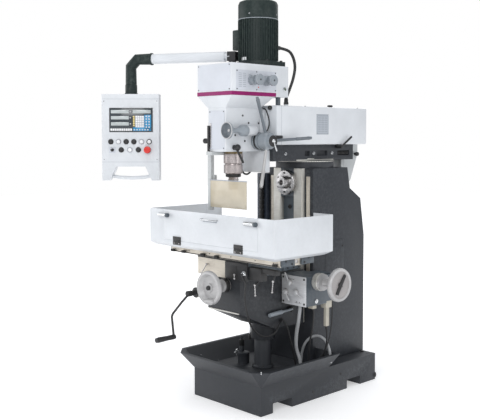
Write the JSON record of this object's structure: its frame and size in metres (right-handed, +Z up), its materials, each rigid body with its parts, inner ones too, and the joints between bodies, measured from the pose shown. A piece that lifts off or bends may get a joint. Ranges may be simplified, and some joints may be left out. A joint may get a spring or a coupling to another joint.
{
  "type": "vertical milling machine",
  "caption": "Knee-type vertical milling machine with a sliding, swivelling ram, geared head, T-slot table inside a splash guard and a control pendant on a boom.",
  "frame": {"origin": "centre of the underside of the base, on the floor", "axes": "+X is the operator's right and the table's length, +Y runs from the operator to the back of the column, +Z is up"},
  "size_m": [1.2707, 1.4266, 2.1506],
  "materials": {
    "dark_paint": "semi-gloss dark blue-grey machine enamel",
    "light_paint": "semi-gloss white machine enamel",
    "grey_paint": "semi-gloss light grey enamel",
    "motor_green": "satin black-green motor paint",
    "black_plastic": "moulded black",
    "bare_iron": "ground and scraped iron",
    "machined": "turned and polished",
    "steel": "ground",
    "clear_sheet": "aged clear sheet",
    "red_plastic": "moulded red",
    "white_plastic": "moulded white"
  },
  "bodies": {
    "frame": {"base_casting": "dark_paint", "column": "dark_paint", "knee_screw_pedestal": "dark_paint", "electrical_cabinet": "dark_paint", "horizontal_spindle_cap": "machined", "cable_conduit": "black_plastic"},
    "horizontal_spindle_body": {"horizontal_spindle": "steel"},
    "turret": {"turret_plate": "dark_paint"},
    "ram_and_head": {"ram_slide": "dark_paint", "ram_cover": "light_paint", "arbor_bracket": "grey_paint", "head_mount_bracket": "grey_paint", "gearbox_casing": "light_paint", "quill_housing": "light_paint", "motor_body": "motor_green", "motor_fan_cover": "motor_green", "motor_cable": "black_plastic", "head_cable": "black_plastic", "pendant_pivot_post": "black_plastic", "chuck_guard_post": "grey_paint"},
    "ram_clamp": {"ram_clamp_lever": "black_plastic"},
    "rotor": {"motor_rotor": "steel"},
    "drive_gear": {"spindle_drive_gear": "steel"},
    "quill": {"quill_sleeve": "steel"},
    "spindle": {"spindle_shaft": "steel", "collet_chuck": "steel"},
    "feed_star": {"quill_feed_star": "steel"},
    "fine_feed": {"fine_feed_wheel": "steel"},
    "speed_front": {"speed_lever_front": "grey_paint"},
    "speed_rear": {"speed_lever_rear": "grey_paint"},
    "quill_clamp": {"quill_clamp_lever": "black_plastic"},
    "shield": {"chuck_shield": "clear_sheet"},
    "pendant_boom": {"pendant_arm": "light_paint"},
    "pendant": {"pendant_case": "light_paint"},
    "knee": {"knee_casting": "dark_paint", "knee_leadscrew": "steel", "feed_gearbox": "grey_paint"},
    "crank": {"knee_crank": "steel"},
    "cross_wheel": {"cross_handwheel": "machined", "cross_leadscrew": "steel"},
    "table_wheel": {"table_handwheel": "machined"},
    "feed_selector_1": {"feed_lever_1": "machined"},
    "feed_selector_2": {"feed_lever_2": "machined"},
    "feed_selector_3": {"feed_lever_3": "machined"},
    "saddle_body": {"saddle": "bare_iron"},
    "table_body": {"table": "bare_iron", "splash_guard": "light_paint", "table_leadscrew": "steel"},
    "door": {"splash_door": "light_paint"},
    "e_stop": {"emergency_stop": "red_plastic"},
    "jog": {"jog_lever": "black_plastic"},
    "button_1": {"push_button_1": "white_plastic"},
    "button_2": {"push_button_2": "white_plastic"},
    "button_3": {"push_button_3": "white_plastic"},
    "button_4": {"push_button_4": "white_plastic"},
    "button_5": {"push_button_5": "white_plastic"},
    "button_6": {"push_button_6": "white_plastic"},
    "button_7": {"push_button_7": "white_plastic"},
    "button_8": {"push_button_8": "white_plastic"},
    "button_9": {"push_button_9": "white_plastic"}
  },
  "joints": [
    {"name": "horizontal_spindle_turn", "type": "hinge", "parent": "frame", "child": "horizontal_spindle_body", "pos_m": [0, -0.0053, 1.17], "axis": [0, 1, 0], "continuous": true},
    {"name": "turret_swivel", "type": "hinge", "parent": "frame", "child": "turret", "pos_m": [0, 0.14, 1.2718], "axis": [0, 0, 1], "range_deg": [-20, 20]},
    {"name": "ram_travel", "type": "slide", "parent": "turret", "child": "ram_and_head", "axis": [0, 1, 0], "range_m": [-0.05, 0.15]},
    {"name": "ram_clamp_turn", "type": "hinge", "parent": "ram_and_head", "child": "ram_clamp", "pos_m": [0.1203, 0.275, 1.3686], "axis": [1, 0, 0], "range_deg": [-40, 25]},
    {"name": "motor_spin", "type": "hinge", "parent": "ram_and_head", "child": "rotor", "pos_m": [0, -0.236, 1.7], "axis": [0, 0, 1], "continuous": true},
    {"name": "drive_gear_spin", "type": "hinge", "parent": "ram_and_head", "child": "drive_gear", "pos_m": [0, -0.42, 1.67], "axis": [0, 0, 1], "continuous": true},
    {"name": "quill_feed", "type": "slide", "parent": "ram_and_head", "child": "quill", "axis": [0, 0, -1], "range_m": [0, 0.12]},
    {"name": "spindle_spin", "type": "hinge", "parent": "quill", "child": "spindle", "pos_m": [0, -0.42, 1.4], "axis": [0, 0, 1], "continuous": true},
    {"name": "feed_star_turn", "type": "hinge", "parent": "ram_and_head", "child": "feed_star", "pos_m": [0.0683, -0.31, 1.403], "axis": [1, 0, 0], "range_deg": [0, 343.7]},
    {"name": "fine_feed_turn", "type": "hinge", "parent": "ram_and_head", "child": "fine_feed", "pos_m": [0.105, -0.4293, 1.457], "axis": [0, 1, 0], "continuous": true},
    {"name": "speed_lever_front_turn", "type": "hinge", "parent": "ram_and_head", "child": "speed_front", "pos_m": [0.1323, -0.414, 1.716], "axis": [1, 0, 0], "range_deg": [-60, 60]},
    {"name": "speed_lever_rear_turn", "type": "hinge", "parent": "ram_and_head", "child": "speed_rear", "pos_m": [0.1323, -0.315, 1.716], "axis": [1, 0, 0], "range_deg": [-60, 60]},
    {"name": "quill_clamp_turn", "type": "hinge", "parent": "ram_and_head", "child": "quill_clamp", "pos_m": [0.0683, -0.478, 1.37], "axis": [1, 0, 0], "range_deg": [-60, 20]},
    {"name": "shield_swing", "type": "hinge", "parent": "ram_and_head", "child": "shield", "pos_m": [-0.0875, -0.5138, 1.057], "axis": [0, 0, 1], "range_deg": [-100, 0]},
    {"name": "boom_swing", "type": "hinge", "parent": "ram_and_head", "child": "pendant_boom", "pos_m": [-0.102, -0.33, 1.858], "axis": [0, 0, 1], "range_deg": [-30, 40]},
    {"name": "pendant_turn", "type": "hinge", "parent": "pendant_boom", "child": "pendant", "pos_m": [-0.64042, -0.61028, 1.664], "axis": [0, 0, 1], "range_deg": [-60, 60]},
    {"name": "button_1_press", "type": "slide", "parent": "pendant", "child": "button_1", "axis": [-0.7133, 0.7009, 0], "range_m": [0, 0.003], "stiffness_N_per_m": 300},
    {"name": "button_2_press", "type": "slide", "parent": "pendant", "child": "button_2", "axis": [-0.7133, 0.7009, 0], "range_m": [0, 0.003], "stiffness_N_per_m": 300},
    {"name": "button_3_press", "type": "slide", "parent": "pendant", "child": "button_3", "axis": [-0.7133, 0.7009, 0], "range_m": [0, 0.003], "stiffness_N_per_m": 300},
    {"name": "button_4_press", "type": "slide", "parent": "pendant", "child": "button_4", "axis": [-0.7133, 0.7009, 0], "range_m": [0, 0.003], "stiffness_N_per_m": 300},
    {"name": "button_5_press", "type": "slide", "parent": "pendant", "child": "button_5", "axis": [-0.7133, 0.7009, 0], "range_m": [0, 0.003], "stiffness_N_per_m": 300},
    {"name": "button_6_press", "type": "slide", "parent": "pendant", "child": "button_6", "axis": [-0.7133, 0.7009, 0], "range_m": [0, 0.003], "stiffness_N_per_m": 300},
    {"name": "button_7_press", "type": "slide", "parent": "pendant", "child": "button_7", "axis": [-0.7133, 0.7009, 0], "range_m": [0, 0.003], "stiffness_N_per_m": 300},
    {"name": "button_8_press", "type": "slide", "parent": "pendant", "child": "button_8", "axis": [-0.7133, 0.7009, 0], "range_m": [0, 0.003], "stiffness_N_per_m": 300},
    {"name": "button_9_press", "type": "slide", "parent": "pendant", "child": "button_9", "axis": [-0.7133, 0.7009, 0], "range_m": [0, 0.003], "stiffness_N_per_m": 300},
    {"name": "e_stop_press", "type": "slide", "parent": "pendant", "child": "e_stop", "axis": [-0.7133, 0.7009, 0], "range_m": [0, 0.004], "stiffness_N_per_m": 900},
    {"name": "jog_turn", "type": "hinge", "parent": "pendant", "child": "jog", "pos_m": [-0.6796, -0.71478, 1.352], "axis": [-0.7133, 0.7009, 0], "range_deg": [-45, 45]},
    {"name": "knee_lift", "type": "slide", "parent": "frame", "child": "knee", "axis": [0, 0, 1], "range_m": [-0.14, 0.14]},
    {"name": "crank_turn", "type": "hinge", "parent": "knee", "child": "crank", "pos_m": [-0.1, -0.4903, 0.608], "axis": [0, 1, 0], "range_deg": [-20170, 20170]},
    {"name": "saddle_travel", "type": "slide", "parent": "knee", "child": "saddle_body", "axis": [0, 1, 0], "range_m": [-0.08, 0.11]},
    {"name": "cross_wheel_turn", "type": "hinge", "parent": "knee", "child": "cross_wheel", "pos_m": [0.023, -0.4903, 0.65], "axis": [0, 1, 0], "range_deg": [-5765, 7925]},
    {"name": "table_travel", "type": "slide", "parent": "saddle_body", "child": "table_body", "axis": [1, 0, 0], "range_m": [-0.25, 0.25]},
    {"name": "table_wheel_turn", "type": "hinge", "parent": "knee", "child": "table_wheel", "pos_m": [0.3046, -0.096, 0.656], "axis": [1, 0, 0], "range_deg": [-18010, 18010]},
    {"name": "feed_lever_1_turn", "type": "hinge", "parent": "knee", "child": "feed_selector_1", "pos_m": [0.1883, -0.1783, 0.6465], "axis": [0, 1, 0], "range_deg": [-25, 25]},
    {"name": "feed_lever_2_turn", "type": "hinge", "parent": "knee", "child": "feed_selector_2", "pos_m": [0.1593, -0.1783, 0.5925], "axis": [0, 1, 0], "range_deg": [-25, 25]},
    {"name": "feed_lever_3_turn", "type": "hinge", "parent": "knee", "child": "feed_selector_3", "pos_m": [0.2363, -0.1783, 0.5975], "axis": [0, 1, 0], "range_deg": [-25, 25]},
    {"name": "door_drop", "type": "hinge", "parent": "table_body", "child": "door", "pos_m": [0, -0.601, 0.8681], "axis": [1, 0, 0], "range_deg": [0, 95]}
  ],
  "couplings": [
    {"joint": "drive_gear_spin", "follows": "motor_spin", "ratio": -0.70093},
    {"joint": "spindle_spin", "follows": "motor_spin", "ratio": -0.70093},
    {"joint": "quill_feed", "follows": "feed_star_turn", "m_per_rad": 0.02},
    {"joint": "crank_turn", "follows": "knee_lift", "rad_per_m": 2513.3},
    {"joint": "cross_wheel_turn", "follows": "saddle_travel", "rad_per_m": 1256.6},
    {"joint": "table_wheel_turn", "follows": "table_travel", "rad_per_m": 1256.6}
  ]
}
